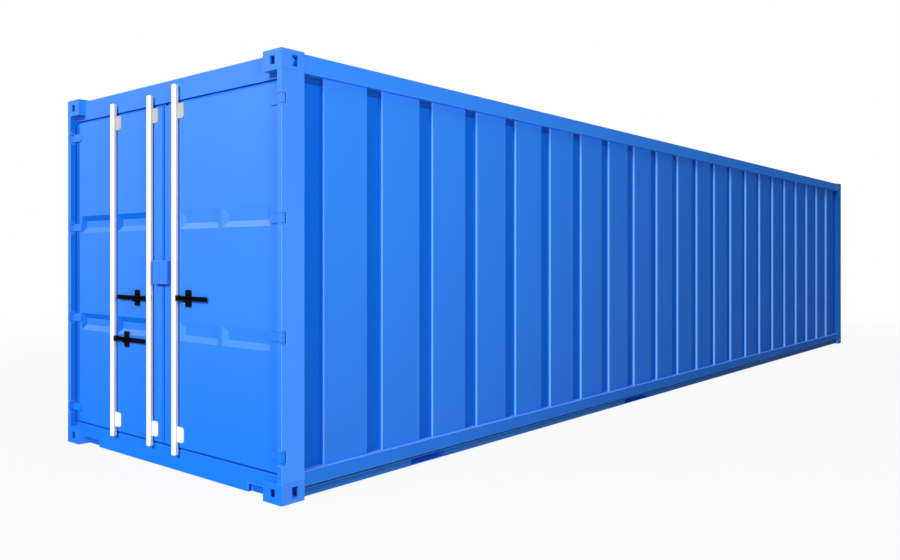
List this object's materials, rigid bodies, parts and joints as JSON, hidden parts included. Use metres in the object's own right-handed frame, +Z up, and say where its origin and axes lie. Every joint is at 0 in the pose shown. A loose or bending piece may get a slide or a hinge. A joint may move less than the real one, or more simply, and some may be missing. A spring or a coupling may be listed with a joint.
{
  "type": "forty foot shipping container",
  "caption": "Steel dry freight container with corrugated walls, twin end doors that swing open, turning lock rods and lifting handles.",
  "frame": {"origin": "centre of the footprint, at the level the corner castings stand on", "axes": "+X along the container from the doors to the blind end, +Y towards its left side, +Z up"},
  "size_m": [12.192, 2.438, 2.591],
  "materials": {
    "blue_paint": "satin",
    "white_paint": "satin",
    "grey_paint": "satin",
    "black_paint": "satin",
    "rubber": "matte",
    "floor_wood": "matte"
  },
  "bodies": {
    "root": {"bottom_corner_castings": "blue_paint", "top_corner_castings": "blue_paint", "door_post_right": "blue_paint", "door_post_left": "blue_paint", "hinge_lugs_right": "blue_paint", "hinge_lugs_left": "blue_paint", "blind_post_right": "blue_paint", "blind_post_left": "blue_paint", "top_rail_right": "blue_paint", "top_rail_left": "blue_paint", "bottom_rail_right": "blue_paint", "bottom_rail_left": "blue_paint", "door_header": "blue_paint", "door_sill": "blue_paint", "blind_top_rail": "blue_paint", "blind_bottom_rail": "blue_paint", "side_wall_right": "blue_paint", "side_wall_left": "blue_paint", "blind_end_wall": "blue_paint", "roof_panel": "blue_paint", "floor_deck": "floor_wood", "cross_members": "blue_paint", "fork_pocket_plates": "blue_paint", "fork_pocket_walls": "blue_paint", "rail_skirts": "blue_paint", "rod_keepers": "blue_paint"},
    "right_door": {"door_frame_right": "blue_paint", "door_panel_right": "blue_paint", "door_seals_right": "rubber", "hinge_blades_right": "blue_paint", "rod_brackets_right": "grey_paint", "lock_box_right": "blue_paint", "handle_rest_right": "black_paint"},
    "left_door": {"door_frame_left": "blue_paint", "door_panel_left": "blue_paint", "door_seals_left": "rubber", "hinge_blades_left": "blue_paint", "rod_brackets_left": "grey_paint", "lock_box_left": "blue_paint", "handle_rests_left": "black_paint"},
    "rod_outer_left": {"lock_rod_outer_left": "white_paint"},
    "handle_outer_left": {"handle_outer_left": "black_paint"},
    "rod_inner_left": {"lock_rod_inner_left": "white_paint"},
    "handle_inner_left": {"handle_inner_left": "black_paint"},
    "rod_right": {"lock_rod_right": "white_paint"},
    "handle_right": {"handle_right": "black_paint"}
  },
  "joints": [
    {"name": "right_door_swing", "type": "hinge", "parent": "root", "child": "right_door", "pos_m": [-6.082, -1.205, 1.3], "axis": [0, 0, 1], "range_deg": [0, 265]},
    {"name": "left_door_swing", "type": "hinge", "parent": "root", "child": "left_door", "pos_m": [-6.082, 1.205, 1.3], "axis": [0, 0, -1], "range_deg": [0, 265]},
    {"name": "rod_outer_left_turn", "type": "hinge", "parent": "left_door", "child": "rod_outer_left", "pos_m": [-6.07, 0.609, 0.83], "axis": [0, 0, 1], "range_deg": [-90, 0]},
    {"name": "handle_outer_left_lift", "type": "hinge", "parent": "rod_outer_left", "child": "handle_outer_left", "pos_m": [-6.073, 0.561, 0.83], "axis": [-1, 0, 0], "range_deg": [0, 20]},
    {"name": "rod_inner_left_turn", "type": "hinge", "parent": "left_door", "child": "rod_inner_left", "pos_m": [-6.07, 0.146, 1.125], "axis": [0, 0, -1], "range_deg": [-90, 0]},
    {"name": "handle_inner_left_lift", "type": "hinge", "parent": "rod_inner_left", "child": "handle_inner_left", "pos_m": [-6.073, 0.194, 1.125], "axis": [1, 0, 0], "range_deg": [0, 20]},
    {"name": "rod_right_turn", "type": "hinge", "parent": "right_door", "child": "rod_right", "pos_m": [-6.07, -0.146, 1.14], "axis": [0, 0, 1], "range_deg": [-90, 0]},
    {"name": "handle_right_lift", "type": "hinge", "parent": "rod_right", "child": "handle_right", "pos_m": [-6.073, -0.194, 1.14], "axis": [-1, 0, 0], "range_deg": [0, 20]}
  ]
}
